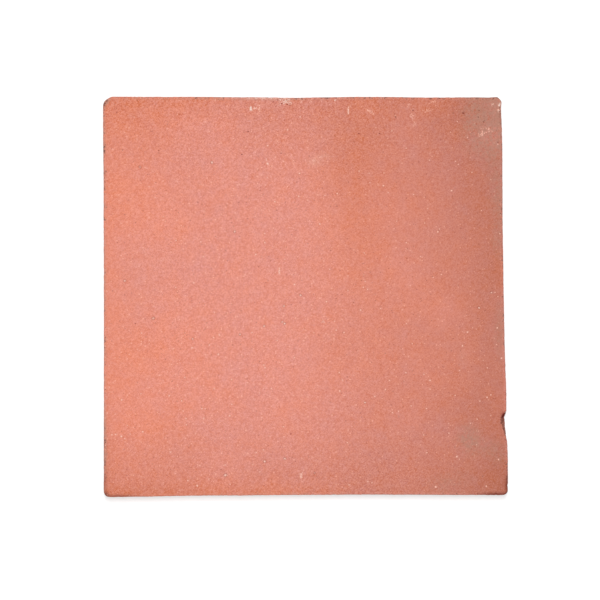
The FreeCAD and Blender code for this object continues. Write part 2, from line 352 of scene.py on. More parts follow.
# How a mark's flecks scatter in its spread, the ranges of their width, strength and stretch, and their depth.
FLECK_SCATTER = 0.6
FLECK_WIDTHS = (0.45, 0.8)
FLECK_STRENGTHS = (0.5, 1.0)
FLECK_STRETCHES = (1.0, 1.4)
FLECK_DEPTH = 0.04

# Pale grains that stand out: centre and half-size.
GRAINS = (
    (-96.7, -68.7, 0.45), (-94.8, -68.5, 0.45), (-92.0, -69.5, 0.60), (-90.3, -70.7, 0.40),
    (-87.6, -68.4, 0.35), (-89.0, -64.0, 0.35), (-81.3, -67.2, 0.50), (-91.8, -51.3, 0.50),
    (-61.9, -51.8, 0.45), (-61.2, -56.8, 0.35), (-59.7, -60.7, 0.40), (-59.5, -63.8, 0.40),
    (-67.4, -77.4, 0.45), (-58.9, -91.5, 0.45), (-54.2, -94.1, 0.60), (64.6, -94.9, 0.65),
    (89.8, -94.6, 0.50), (95.9, -81.3, 0.50), (75.1, -79.8, 0.55), (76.4, -81.1, 0.35),
    (85.3, -61.2, 0.40), (81.9, -63.2, 0.42), (71.2, -68.1, 0.42), (71.1, -63.2, 0.35),
    (58.6, -69.0, 0.40), (60.2, -77.8, 0.45), (60.0, -55.8, 0.42), (86.6, -52.2, 0.40),
    (92.1, -59.4, 0.35), (52.4, -54.5, 0.42), (85.0, -73.8, 0.35), (75.6, 87.1, 0.40),
    (72.2, 81.8, 0.35), (80.6, 79.2, 0.40), (95.9, 75.8, 0.40), (74.7, 67.3, 0.40),
    (76.0, 65.8, 0.40), (-2.7, 89.6, 0.45), (-9.0, 83.1, 0.45), (-18.9, 75.3, 0.45),
    (-63.9, 90.9, 0.35), (-68.4, 87.1, 0.30), (-85.3, 89.6, 0.30), (-20.4, 27.0, 0.46),
    (-24.9, 21.1, 0.46), (-10.5, 18.7, 0.35), (-5.6, 6.1, 0.48), (10.3, -2.5, 0.46),
    (11.9, 13.6, 0.40), (15.1, -16.7, 0.45), (19.0, -17.9, 0.45), (-14.2, -21.8, 0.35),
    (43.0, 82.5, 0.40), (44.6, 90.0, 0.35), (50.1, 73.9, 0.40), (-51.8, -55.8, 0.45),
    (-40.2, -83.8, 0.40), (-26.5, -83.6, 0.35), (-48.4, -90.8, 0.40), (-23.1, -87.3, 0.40),
    (80.5, -17.8, 0.50), (95.4, -15.7, 0.50), (83.1, -15.6, 0.35), (78.0, -24.6, 0.48),
    (95.1, -24.1, 0.40), (97.7, -30.8, 0.55), (76.5, -36.9, 0.38), (90.4, -35.6, 0.40),
    (88.3, -31.9, 0.32), (-81.9, -18.0, 0.40), (-3.0, 61.4, 0.48), (-3.5, 50.0, 0.46),
    (15.7, 51.4, 0.48), (7.0, 36.2, 0.48), (-15.4, 47.4, 0.46), (26.6, 62.5, 0.42),
    (-19.1, 59.4, 0.35), (9.6, 50.4, 0.38), (32.0, 56.7, 0.35), (72.7, 52.7, 0.52),
    (38.7, 55.2, 0.48), (65.8, 32.2, 0.50), (61.7, 67.9, 0.40), (82.8, 61.8, 0.40),
    (92.3, 58.3, 0.35), (53.8, 50.8, 0.40), (87.5, 42.8, 0.40), (59.2, 36.6, 0.35),
    (66.6, 33.6, 0.38), (45.3, 37.5, 0.35), (41.1, 51.8, 0.38), (60.8, 43.8, 0.35),
    (31.6, 61.5, 0.38), (-64.8, 4.7, 0.40), (-55.8, 7.0, 0.42), (-56.7, -25.3, 0.45),
    (-43.2, -18.8, 0.42), (-46.0, -20.3, 0.42), (-48.1, -24.0, 0.40), (-43.6, -28.6, 0.48),
    (-45.5, -7.8, 0.38), (-51.0, 20.0, 0.38), (-64.6, 28.1, 0.40), (-52.3, 27.4, 0.40),
    (-26.8, -17.8, 0.42), (14.3, -12.3, 0.38), (27.3, -6.7, 0.48), (29.6, 7.6, 0.40),
    (28.7, 4.6, 0.42), (30.8, 3.6, 0.42), (21.0, 3.1, 0.38), (29.2, 21.7, 0.40),
    (-5.7, -30.4, 0.40), (-21.0, -34.0, 0.42), (-20.4, -35.3, 0.42), (16.6, -37.8, 0.42),
    (-20.4, 31.5, 0.40), (94.3, 2.0, 0.42), (95.8, -0.1, 0.40), (67.5, 10.9, 0.40),
    (63.5, 9.5, 0.40), (57.2, 19.9, 0.38), (50.1, 26.8, 0.40), (50.1, -13.5, 0.38),
    (53.0, -23.5, 0.40), (49.8, -37.9, 0.42), (37.2, -6.0, 0.40), (97.0, 31.2, 0.45),
    (-50.2, -55.8, 0.38), (-38.0, -59.3, 0.46), (-50.9, -60.5, 0.42), (-68.1, -49.3, 0.45),
    (-60.3, -40.2, 0.40), (-37.0, -41.3, 0.42), (-45.7, -45.8, 0.38), (-82.2, -48.3, 0.40),
    (-37.8, -93.5, 0.40), (-37.0, -53.6, 0.40), (-17.2, -45.8, 0.42), (16.8, -47.0, 0.48),
    (18.3, -41.6, 0.40), (-11.2, -64.8, 0.40), (-24.8, -77.6, 0.42), (-21.2, -76.3, 0.40),
    (20.6, -72.8, 0.42), (30.8, -92.2, 0.42), (21.4, -93.8, 0.42), (32.8, -92.8, 0.42),
    (41.6, -41.8, 0.42), (61.8, -41.8, 0.48), (39.6, -46.3, 0.45), (58.8, -38.8, 0.40),
    (61.8, -46.1, 0.42), (34.3, -49.8, 0.42), (74.3, -49.3, 0.42), (90.2, -50.3, 0.48),
    (92.1, -49.1, 0.45), (46.1, -57.2, 0.42), (43.1, -57.8, 0.40),
)

# A pale grain and its faint dark surround of painted shadow, as shares of the half-size, and the half-size
# that shows in full.
GRAIN_SHAPE, GRAIN_DEPTH, GRAIN_LIME = (1.1, 0.95), 0.05, 0.2
SURROUND_SHAPE, SURROUND_SHADE = (1.8, 1.5), 0.10
CLEAR_GRAIN = 0.48

# Grains in a hollow greyed with painted shadow: centre, half-size and how pale the grain is.
HOLLOW_GRAINS = (
    (-11.8, -12.6, 0.70, 0.8), (-10.6, -13.4, 0.80, 1.0), (-2.6, 0.7, 0.80, 0.8), (-20.8, -14.7, 0.75, 0.8),
    (-82.5, 64.7, 0.90, 0.3), (-46.7, 66.9, 0.95, 0.8), (-10.9, -4.7, 0.70, 0.8), (-76.0, -10.7, 1.05, 0.5),
    (-40.2, -88.9, 1.10, 0.8), (-10.6, -80.7, 0.90, 0.7), (4.3, -87.9, 0.60, 0.4), (86.3, -5.7, 0.80, 0.9),
    (-35.4, 32.5, 0.80, 0.8), (-90.2, 8.0, 0.80, 0.8), (-56.4, -21.0, 0.70, 0.7), (-32.8, -18.8, 0.70, 0.8),
    (92.5, 1.9, 0.75, 0.8), (-20.6, -82.1, 0.85, 1.0), (29.4, -52.8, 0.70, 0.9),
)

# A hollow, greyed with painted shadow, and the grain in it, as shares of the half-size.
HOLLOW_SHAPE, HOLLOW_DEPTH, HOLLOW_SHADE = (1.3, 1.1), 0.15, 0.40
CORE_SHAPE, CORE_LIME = (0.75, 0.62), 0.45

# Pits that stand out: centre and half-size.
PITS = (
    (78.6, 91.3, 0.75), (-28.7, 82.3, 0.55), (-31.8, 70.9, 0.5), (-12.2, 71.5, 0.45), (26.5, 81.2, 0.45),
    (36.8, 81.3, 0.45), (88.7, 86.9, 0.4), (86.0, 89.3, 0.35), (95.9, 76.8, 0.4), (86.4, 92.7, 0.35),
    (53.5, 92.7, 0.5), (-94.0, 91.9, 0.32), (-76.5, 82.5, 0.32), (-73.1, 72.8, 0.36), (-9.2, 95.9, 0.6),
    (-7.8, 95.5, 0.5), (-11.8, 96.4, 0.5), (-8.5, 97.2, 0.45), (-9.2, 98.5, 0.45), (-16.1, 97.4, 0.4),
    (44.9, 89.5, 0.45), (-85.0, -13.2, 0.4), (-7.6, -68.4, 0.4),
)

# A pit's shape, as shares of its half-size, its depth and darkness, and how far it may be turned.
PIT_SHAPE, PIT_DEPTH, PIT_DARK = (1.0, 0.7), 0.4, 0.7
PIT_TURNS = (-0.4, 0.4)

# Grains and pits that are strewn evenly: their numbers, and the ranges of their width, stretch and strength.
STREWN_GRAINS = 60
STREWN_PITS = 130
STREWN_WIDTHS = (0.22, 0.36)
STREWN_STRETCHES = (1.0, 1.6)
STREWN_STRENGTHS = (0.15, 0.5)

# Depth and darkness of a strewn pit of full strength, and how far in from the sides the strewing begins.
STREWN_DEPTH, STREWN_DARK = 0.3, 0.5
STREW_MARGIN = 1.5

# A speck in the mesh: its rings of points, how uneven they are, where it fades, and how far it is looked for.
SPECK_RINGS = ((0.55, 6), (1.0, 9))
SPECK_WOBBLE = (0.82, 1.12)
SPECK_FADE = (0.5, 1.0)
SPECK_SEARCH = 1.2

# How much less the sand shows on dark clay.
SAND_DULLING = 0.3

# Where the slab lies on its map, as shares of the map: wear face, strips of the four sides, and underside.
MAP_FACE = 0.76
MAP_STRIP = 0.10
MAP_STRIPS = {FRONT: 0.77, BACK: 0.885, RIGHT: 0.77, LEFT: 0.885}
MAP_UNDERSIDE = 0.225


def smooth_step(low, high, value):
    """Runs smoothly from 0 at low to 1 at high."""
    share = np.clip((value - low) / (high - low), 0.0, 1.0)
    return share * share * (3.0 - 2.0 * share)


def soft_noise(points, size, channel):
    """Smooth noise, 0 to 1, at each point; size is one length or a length for each axis."""
    offset = Vector(CHANNEL_SHIFT) * channel
    return np.array([0.5 + 0.5 * noise.noise(Vector(point) + offset) for point in points / size])


def cloud_sum(clouds, points):
    """The clouds' strength at each point, seen from above."""
    total = np.zeros(len(points))
    for cloud in clouds:
        across = (points[:, 0] - cloud.x) / cloud.half_x
        along = (points[:, 1] - cloud.y) / cloud.half_y
        total += cloud.amount * np.exp(-0.5 * (across ** 2 + along ** 2))
    return total


def plan_tree(points):
    """Finds points by their place seen from above."""
    tree = kdtree.KDTree(len(points))
    for index, point in enumerate(points):
        tree.insert((point[0], point[1], 0.0), index)
    tree.balance()
    return tree


def turned_place(x, y, along, across, turn):
    """The place that lies along and across from another, on axes that are turned."""
    return (x + along * math.cos(turn) - across * math.sin(turn),
            y + along * math.sin(turn) + across * math.cos(turn))


def shaped_speck(x, y, size, shape, turn, depth=0.0, sand=0.0, lime=0.0, soot=0.0):
    """A speck whose half-length and half-width are shares of a size."""
    return Speck(x, y, shape[0] * size, shape[1] * size, turn, depth, sand, lime, soot)


def mark_flecks(draw):
    """The flecks of all marks."""
    specks = []
    for mark in MARKS:
        for _ in range(mark.flecks):
            along, across = draw.normal(0.0, FLECK_SCATTER, 2) * (mark.along, mark.across)
            x, y = turned_place(mark.x, mark.y, along, across, mark.turn)
            width = mark.size * draw.uniform(*FLECK_WIDTHS)
            strength = draw.uniform(*FLECK_STRENGTHS)
            shape = (draw.uniform(*FLECK_STRETCHES), 1.0)
            turn = draw.uniform(0.0, math.pi)
            specks.append(shaped_speck(x, y, width, shape, turn, FLECK_DEPTH,
                                       sand=mark.sand * strength, lime=mark.lime * strength))
    return specks


def placed_specks(draw):
    """The grains, the grains in hollows and the pits that stand out."""
    specks = []
    for x, y, size in GRAINS:
        sand = min(1.0, size / CLEAR_GRAIN)
        turn = draw.uniform(0.0, math.pi)
        # A faint painted shadow round the grain.
        specks.append(shaped_speck(x, y, size, SURROUND_SHAPE, turn, soot=SURROUND_SHADE))
        specks.append(shaped_speck(x, y, size, GRAIN_SHAPE, turn, GRAIN_DEPTH, sand, GRAIN_LIME * sand))
    for x, y, size, pale in HOLLOW_GRAINS:
        turn = draw.uniform(0.0, math.pi)
        # A grey painted shadow in the hollow.
        specks.append(shaped_speck(x, y, size, HOLLOW_SHAPE, turn, HOLLOW_DEPTH, soot=HOLLOW_SHADE))
        specks.append(shaped_speck(x, y, size, CORE_SHAPE, turn, sand=pale, lime=CORE_LIME * pale))
    for x, y, size in PITS:
        specks.append(shaped_speck(x, y, size, PIT_SHAPE, draw.uniform(*PIT_TURNS), PIT_DEPTH, soot=PIT_DARK))
    return specks


def strewn_specks(draw, low, high):
    """Faint grains and then faint pits all over the wear face."""
    specks = []
    for index in range(STREWN_GRAINS + STREWN_PITS):
        x, y = draw.uniform(low[:2] + STREW_MARGIN, high[:2] - STREW_MARGIN)
        width = draw.uniform(*STREWN_WIDTHS)
        shape = (draw.uniform(*STREWN_STRETCHES), 1.0)
        turn = draw.uniform(0.0, math.pi)
        strength = draw.uniform(*STREWN_STRENGTHS)
        if index < STREWN_GRAINS:
            specks.append(shaped_speck(x, y, width, shape, turn, FLECK_DEPTH, sand=strength))
        else:
            specks.append(shaped_speck(x, y, width, shape, turn, STREWN_DEPTH * strength,
                                       soot=STREWN_DARK * strength))
    return specks


def speck_points(specks, draw):
    """Points that give each speck an uneven edge of its own in the mesh."""
    points = []
    for speck in specks:
        points.append((speck.x, speck.y))
        for share, count in SPECK_RINGS:
            turns = (np.arange(count) + draw.random()) * 2 * math.pi / count
            wobble = share * draw.uniform(*SPECK_WOBBLE, count)
            along = speck.long * wobble * np.cos(turns)
            across = speck.short * wobble * np.sin(turns)
            points += list(zip(*turned_place(speck.x, speck.y, along, across, speck.turn)))
    return np.array(points)


def speck_effect(specks, points):
    """Depth, sand, lime and darkness, part of it painted shadow, that the specks give each point."""
    tree = plan_tree(points)
    depth, sand, lime, soot = np.zeros((4, len(points)))
    for speck in specks:
        search = SPECK_SEARCH * max(speck.long, speck.short)
        for place, index, _ in tree.find_range((speck.x, speck.y, 0.0), search):
            x, y = place.x - speck.x, place.y - speck.y
            along = (x * math.cos(speck.turn) + y * math.sin(speck.turn)) / speck.long
            across = (y * math.cos(speck.turn) - x * math.sin(speck.turn)) / speck.short
            weight = 1.0 - smooth_step(*SPECK_FADE, math.hypot(along, across))
            depth[index] = max(depth[index], speck.depth * weight)
            sand[index] = max(sand[index], speck.sand * weight)
            lime[index] = max(lime[index], speck.lime * weight)
            soot[index] = max(soot[index], speck.soot * weight)
    return depth, sand, lime, soot


def outline_columns(low, high):
    """Where each column of the sides stands, which way it faces and which side it belongs to."""
    left, front = low[:2] + CORNER_FAN
    right, back = high[:2] - CORNER_FAN
    corners = np.array([(left, front), (right, front), (right, back), (left, back)])
    feet, facings, sides = [], [], []
    for side in (FRONT, RIGHT, BACK, LEFT):
        start, end = corners[side], corners[(side + 1) % 4]
        length = np.linalg.norm(end - start)
        places = np.linspace(0.0, length, round(length / COLUMN_STEP), endpoint=False)
        if side == RIGHT:
            chip = np.arange(CHIP_FRONT - start[1], CHIP_BACK - start[1], CHIP_COLUMN_STEP)
            clear = (places < chip[0] - CHIP_COLUMN_STEP) | (places > chip[-1] + CHIP_COLUMN_STEP)
            places = np.sort(np.concatenate([places[clear], chip]))
        fan = round(CORNER_FAN * math.pi / 2 / COLUMN_STEP)
        feet += [start + (end - start) * place / length for place in places] + [end] * fan
        facing = (side - 1) * math.pi / 2
        facings += [facing] * len(places) + [facing + turn * math.pi / 2 / fan for turn in range(fan)]
        sides += [side] * (len(places) + fan)
    ways = np.column_stack([np.cos(facings), np.sin(facings)])
    return np.array(feet), ways, np.array(sides)


def row_heights(low, high):
    """Heights of the rows of the sides, close together where the arrises turn."""
    turn = np.linspace(0.0, math.pi / 2, ARRIS_ROWS + 1)
    lower = low[2] + BOTTOM_ARRIS * (1.0 - np.sin(turn[::-1]))
    upper = high[2] - TOP_ARRIS * (1.0 - np.sin(turn))
    between = np.linspace(lower[-1], upper[0], SIDE_ROWS + 1)[1:-1]
    return np.concatenate([lower, between, upper])


def cast_sides(solid, feet, ways, heights):
    """Points of the solid's sides, row by row, found by looking inwards at each column."""
    surface = BVHTree.FromObject(solid, bpy.context.evaluated_depsgraph_get())
    band = np.empty((len(heights), len(feet), 3))
    for row, height in enumerate(heights):
        level = min(max(height, heights[0] + CAST_MARGIN), heights[-1] - CAST_MARGIN)
        for column, (foot, way) in enumerate(zip(feet, ways)):
            outside = Vector((*(foot + 2 * CORNER_FAN * way), level)) * MM
            hit = surface.ray_cast(outside, Vector((-way[0], -way[1], 0.0)))[0]
            band[row, column] = (hit.x / MM, hit.y / MM, height)
    return band


def broken_share(band, sides):
    """How much of each side point lies on the broken face of the chip, 0 to 1."""
    share = np.zeros(band.shape[:2])
    columns = np.where(sides == RIGHT)[0]
    along = band[0, columns, 1]
    chip = columns[(along > CHIP_FRONT) & (along < CHIP_BACK)]
    for row in range(len(band)):
        ends = band[row, [chip[0], chip[-1]]]
        whole = np.interp(band[row, chip, 1], ends[:, 1], ends[:, 0])
        share[row, chip] = smooth_step(*BROKEN_DEPTHS, whole - band[row, chip, 0])
    return share


def fill_face(ring, ways, rings, step, extra):
    """Points and triangles inside a ring: rings that follow it, an even grid, and extra points."""
    layers = [ring]
    layers += [ring[::stride] - inset * ways[::stride] for inset, stride in rings]
    rim = plan_tree(ring)
    low, high = ring.min(axis=0), ring.max(axis=0)
    grid = []
    for row, y in enumerate(np.arange(low[1], high[1], step * GRID_ROW)):
        for x in np.arange(low[0] + step / 2 * (row % 2), high[0], step):
            if rim.find((x, y, 0.0))[2] > GRID_INSET:
                grid.append((x, y))
    points = np.concatenate(layers + [np.array(grid), extra])
    count = len(ring)
    edges = [(index, (index + 1) % count) for index in range(count)]
    places = [Vector(point) for point in points]
    result = geometry.delaunay_2d_cdt(places, edges, [], KEEP_INSIDE, SAME_POINT)
    return np.array([tuple(point) for point in result[0]]), result[2]


class Slab:
    """The tile's points and faces, where each point lies on the tile, and the stains that it carries."""

    def __init__(self, solid):
        draw = np.random.default_rng(SEED)
        corners = np.array([vertex.co for vertex in solid.data.vertices]) / MM
        self.low, self.high = corners.min(axis=0), corners.max(axis=0)
        feet, self.ways, sides = outline_columns(self.low, self.high)
        self.heights = row_heights(self.low, self.high)
        band = cast_sides(solid, feet, self.ways, self.heights)
        self.rows, self.columns = band.shape[:2]
        self.side_count = self.rows * self.columns
        self.specks = mark_flecks(draw) + placed_specks(draw) + strewn_specks(draw, self.low, self.high)
        self.girth = np.linalg.norm(np.diff(band, axis=0), axis=2).mean(axis=1).cumsum()
        self.sides = sides
        self.join(band, speck_points(self.specks, draw))
        self.broken = np.zeros(len(self.points))
        self.broken[:self.side_count] = broken_share(band, sides).ravel()
        self.locate(band[-1])

    def join(self, band, extra):
        """One list of points, the sides row by row and then the inside of each face's ring, and the faces."""
        columns = self.columns
        top, top_faces = fill_face(band[-1, :, :2], self.ways, FACE_RINGS, FACE_STEP, extra)
        under, under_faces = fill_face(
            band[0, :, :2], self.ways, UNDERSIDE_RINGS, UNDERSIDE_STEP, np.empty((0, 2)))
        top = np.column_stack([top, np.full(len(top), self.high[2])])
        under = np.column_stack([under, np.full(len(under), self.low[2])])
        self.points = np.concatenate([band.reshape(-1, 3), top[columns:], under[columns:]])
        self.face = slice(self.side_count, self.side_count + len(top) - columns)

        lower = np.arange(self.side_count - columns).reshape(-1, columns)
        right = np.roll(lower, -1, axis=1)
        quads = np.stack([lower, right, right + columns, lower + columns], axis=-1).reshape(-1, 4)
        self.faces = quads.tolist()
        top_shift = self.side_count - columns
        self.faces += [[index + top_shift for index in face] for face in top_faces]
        under_shift = self.side_count + len(top) - 2 * columns
        for face in under_faces:
            self.faces.append([index if index < columns else index + under_shift for index in reversed(face)])

    def locate(self, ring):
        """How far each point lies below the wear face and in from its rim, and the column nearest to it."""
        count = len(self.points)
        self.drop = self.high[2] - self.points[:, 2]
        self.inset = np.zeros(count)
        self.column = np.zeros(count, int)
        self.column[:self.side_count] = np.tile(np.arange(self.columns), self.rows)
        rim = plan_tree(ring)
        for index in range(self.face.start, self.face.stop):
            _, self.column[index], self.inset[index] = rim.find((*self.points[index, :2], 0.0))
        upper = smooth_step(*STAIN_DROPS, self.drop)
        self.arris = upper * np.exp(-(self.inset / STAIN_REACH) ** 2)
        self.border = upper * np.exp(-(self.inset / RIM_REACH) ** 2)
        self.rim = self.points[self.side_count - self.columns:self.side_count].copy()

    def stain(self):
        """The colours of the clay, what lies on it and its painted shade and light, as values at the points.
        """
        upper = np.where(self.drop < TOP_ARRIS)[0]
        self.depth, sand, lime, soot = np.zeros((4, len(self.points)))
        effect = np.array(speck_effect(self.specks, self.points[upper]))
        effect *= smooth_step(*SPECK_DROPS, self.drop[upper])
        self.depth[upper], sand[upper], lime[upper], soot[upper] = effect
        self.dirt = np.clip(ARRIS_GRIT + cloud_sum(ARRIS_DIRT, self.rim), 0.0, 1.0)[self.column]
        whole = 1.0 - self.broken
        # Painted shade: the broad dark clouds darken the clay towards the right side and the front and back
        # edges; painted light makes the arris paler where its rounding turns from the lamp.
        dark = DARK_BASE + cloud_sum(DARK_CLOUDS, self.points) - ARRIS_PAINTED_LIGHT * self.arris
        # Grey dirt and painted shade along the rim darken the clay and join the grime.
        rim_dirt_and_shade = cloud_sum(RIM_DIRT_AND_SHADE, self.rim)[self.column] * self.border
        dark += RIM_DARK * rim_dirt_and_shade
        grime_and_rim_shade = cloud_sum(GRIME_CLOUDS, self.points) + rim_dirt_and_shade
        # Painted shade on the arris near the front corners, and painted shadow at the chip's rim.
        arris_shade = cloud_sum(ARRIS_SHADE, self.points) * smooth_step(*ARRIS_SHADE_DROPS, self.drop)
        smears = cloud_sum(SMEARS, self.points) * smooth_step(*SMEAR_DROPS, self.drop)
        self.stains = {
            "tint": TINT_BASE + cloud_sum(TINT_CLOUDS, self.points),
            "dark": dark,
            "grain": GRAIN_BASE + cloud_sum(GRAIN_CLOUDS, self.points),
            "grime_and_rim_shade": grime_and_rim_shade * smooth_step(*GRIME_DROPS, self.drop),
            "dirt": self.dirt * self.arris * whole,
            "arris_shade": arris_shade * whole,
            "sand": sand * (1.0 - SAND_DULLING * dark),
            "lime": np.maximum(lime, smears),
            # Painted shadow at the chip's end joins the specks' darkness.
            "soot": np.maximum(soot, cloud_sum(CHIP_SHADOW, self.points)),
            "broken": self.broken,
        }

    def press(self):
        """Sinks the wear face and presses in the sides by the relief, the wear and the specks."""
        wear = ARRIS_WEAR * soft_noise(self.rim, ARRIS_WEAR_SIZE, WEAR_NOISE) ** 2
        nicks = soft_noise(self.rim, ARRIS_NICKS_SIZE, NICK_NOISE)
        wear += ARRIS_NICKS * smooth_step(*NICK_LEVELS, nicks)
        wear = wear[self.column] + DIRT_NICKS * self.dirt
        wear *= np.exp(-(self.drop / WEAR_REACH) ** 2 - (self.inset / WEAR_REACH) ** 2)

        swell = FACE_SWELL * soft_noise(self.points, FACE_SWELL_SIZE, FACE_SWELL_NOISE)
        swell += FACE_RIPPLE * soft_noise(self.points, FACE_RIPPLE_SIZE, FACE_RIPPLE_NOISE)
        sink = swell * smooth_step(*SWELL_DROPS, self.drop) + wear
        sink += self.depth * smooth_step(*PIT_DROPS, self.drop)

        press = SIDE_SWELL * soft_noise(self.points, SIDE_SWELL_SIZE, SIDE_SWELL_NOISE)
        rough = soft_noise(self.points, SIDE_ROUGH_SIZE, SIDE_ROUGH_NOISE)
        press += SIDE_ROUGH * (rough - ROUGH_LEVEL).clip(0.0)
        drag = soft_noise(self.points, SIDE_DRAG_SIZE, SIDE_DRAG_NOISE)
        press += SIDE_DRAG * drag * smooth_step(*DRAG_DROPS, self.drop)
        press += cloud_sum(SIDE_SHAPE, self.points)
        press *= smooth_step(*FOOT_HEIGHTS, self.points[:, 2]) * (1.0 - self.broken)
        crumbs = soft_noise(self.points, CHIP_ROUGH_SIZE, CHIP_NOISE)
        press += CHIP_ROUGH * self.broken * (2.0 * crumbs - 1.0)
        press += wear

        rim_press = press[self.side_count - self.columns:self.side_count]
        pull = rim_press[self.column] * smooth_step(SHAPE_REACH, 0.0, self.inset)
        press[self.face] = pull[self.face]
        press[self.face.stop:] = 0.0
        self.points[:, :2] -= press[:, None] * self.ways[self.column]
        self.points[:, 2] -= sink

    def unwrap(self):
        """Each face corner's place on the map: wear face large, sides as strips, underside small."""
        spots = []
        first = [np.where(self.sides == side)[0][0] for side in range(4)]
        count = np.bincount(self.sides)
        up = MAP_STRIP * np.concatenate([[0.0], self.girth / self.girth[-1]])
        for row in range(self.rows - 1):
            for column, side in enumerate(self.sides):
                along = MAP_FACE * (column - first[side]) / count[side]
                step = MAP_FACE / count[side]
                low, high = MAP_STRIPS[side] + up[row], MAP_STRIPS[side] + up[row + 1]
                strip = [(along, low), (along + step, low), (along + step, high), (along, high)]
                spots += strip if side in (FRONT, BACK) else [(v, u) for u, v in strip]
        flat = (self.points[:, :2] - self.low[:2]) / (self.high[:2] - self.low[:2])
        for face in self.faces[(self.rows - 1) * self.columns:]:
            if self.points[face[0], 2] > self.high[2] / 2:
                spots += [MAP_FACE * flat[index] for index in face]
            else:
                spots += [MAP_STRIPS[FRONT] + MAP_UNDERSIDE * flat[index] for index in face]
        return np.array(spots)

    def make_object(self, name):
        """The slab as a Blender object with its stains as point attributes."""
        mesh = bpy.data.meshes.new(name)
        mesh.from_pydata((self.points * MM).tolist(), [], self.faces)
        mesh.update()
        for stain, values in self.stains.items():
            mesh.attributes.new(stain, "FLOAT", "POINT").data.foreach_set("value", values.astype(np.float32))
        mesh.uv_layers.new(name="OFBake").data.foreach_set("uv", self.unwrap().ravel())
        mesh.polygons.foreach_set("use_smooth", np.ones(len(mesh.polygons), bool))
        mesh.set_sharp_from_angle(angle=SHARP_ANGLE)
        slab = bpy.data.objects.new(name, mesh)
        bpy.context.scene.collection.objects.link(slab)
        return slab


# Sockets of a Mix node that mixes colours, and how far apart the channels of noise lie.
MIX_SHARE, MIX_FIRST, MIX_SECOND, MIX_COLOUR = 0, 6, 7, 2
CHANNEL_STEP = 5.3


def add_node(tree, kind, settings=(), inputs=()):
    """A shader node with its settings, and its inputs given as plain values or as other nodes' outputs."""
    node = tree.nodes.new(kind)
    for name, value in dict(settings).items():
        setattr(node, name, value)
    for name, value in dict(inputs).items():
        if isinstance(value, bpy.types.NodeSocket):
            tree.links.new(value, node.inputs[name])
        else:
            node.inputs[name].default_value = value
    return node


def attribute_value(tree, name):
    """A stain of the mesh, by its name."""
    return add_node(tree, "ShaderNodeAttribute", {"attribute_name": name}).outputs["Fac"]


def noise_value(tree, place, size, detail, channel):
    """Noise with features about size millimetres across; each channel is independent of the others."""
    inputs = {"Vector": place, "W": CHANNEL_STEP * channel, "Scale": 1.0 / (size * MM), "Detail": detail}
    return add_node(tree, "ShaderNodeTexNoise", {"noise_dimensions": "4D"}, inputs).outputs["Fac"]


def cell_values(tree, place, size):
    """Cells about size millimetres across: two values, 0 to 1, for each, and the distance from its middle."""
    cells = add_node(tree, "ShaderNodeTexVoronoi", inputs={"Vector": place, "Scale": 1.0 / (size * MM)})
    split = add_node(tree, "ShaderNodeSeparateColor", inputs={0: cells.outputs["Color"]})
    return split.outputs[0], split.outputs[1], cells.outputs["Distance"]


def ramp(tree, value, low, high, top=1.0):
    """Runs from 0 at low to top at high."""
    inputs = {"Value": value, "From Min": low, "From Max": high, "To Max": top}
    return add_node(tree, "ShaderNodeMapRange", inputs=inputs).outputs[0]


def calculate(tree, operation, first, second):
    """The result of one operation on two values."""
    return add_node(tree, "ShaderNodeMath", {"operation": operation}, {0: first, 1: second}).outputs[0]


def swing(tree, values, weights):
    """The sum of named values' swings about their middle, each with its weight."""
    total = 0.0
    for name, weight in weights.items():
        centred = calculate(tree, "SUBTRACT", values[name], 0.5)
        total = calculate(tree, "ADD", total, calculate(tree, "MULTIPLY", centred, weight))
    return total


def mix_colours(tree, share, first, second):
    """The first colour with a share of the second."""
    settings = {"data_type": "RGBA", "clamp_factor": True}
    inputs = {MIX_SHARE: share, MIX_FIRST: first, MIX_SECOND: second}
    return add_node(tree, "ShaderNodeMix", settings, inputs).outputs[MIX_COLOUR]


def add_tone(tree, colour, amount, tone):
    """The colour with an amount of a tone added to it."""
    inputs = {0: amount, 1: tone, 2: colour}
    return add_node(tree, "ShaderNodeVectorMath", {"operation": "MULTIPLY_ADD"}, inputs).outputs[0]


# Colours of the clay where it is palest, how much darkening takes from them, partly fired tone and partly
# painted shade, and colours of the grains.
PINK_CLAY = (0.766, 0.310, 0.263, 1.0)
ORANGE_CLAY = (0.958, 0.328, 0.217, 1.0)
FULL_TONE = (1.0, 1.0, 1.0, 1.0)
DARK_TONE = (0.551, 0.487, 0.405, 1.0)
GRAIN_TONE = (1.02, 0.80, 0.75)
VEIL_TONE = (0.25, 0.55, 1.0)

# Colours of what lies on the clay, of its painted shade and shadow, and of where it is broken.
GRIME_COLOUR = (0.45, 0.256, 0.196, 1.0)
DIRT_COLOUR = (0.18, 0.075, 0.055, 1.0)
ARRIS_SHADE_COLOUR = (0.20, 0.042, 0.024, 1.0)
SAND_COLOUR = (0.99, 0.53, 0.41, 1.0)
LIME_COLOUR = (0.89, 0.72, 0.63, 1.0)
DARK_AND_SHADE_COLOUR = (0.19, 0.014, 0.005, 1.0)
BROKEN_DARK = (0.15, 0.04, 0.026, 1.0)
BROKEN_PALE = (0.72, 0.26, 0.18, 1.0)

# Noises of the clay: size in millimetres, detail and channel, and the sizes of its cells.
NOISES = {"drift": (20.0, 2.0, 1), "veil": (6.0, 3.0, 2), "grain": (2.2, 2.0, 3), "fleck": (0.9, 1.0, 4)}
FINE_CELL = 0.5
COARSE_CELL = 1.1

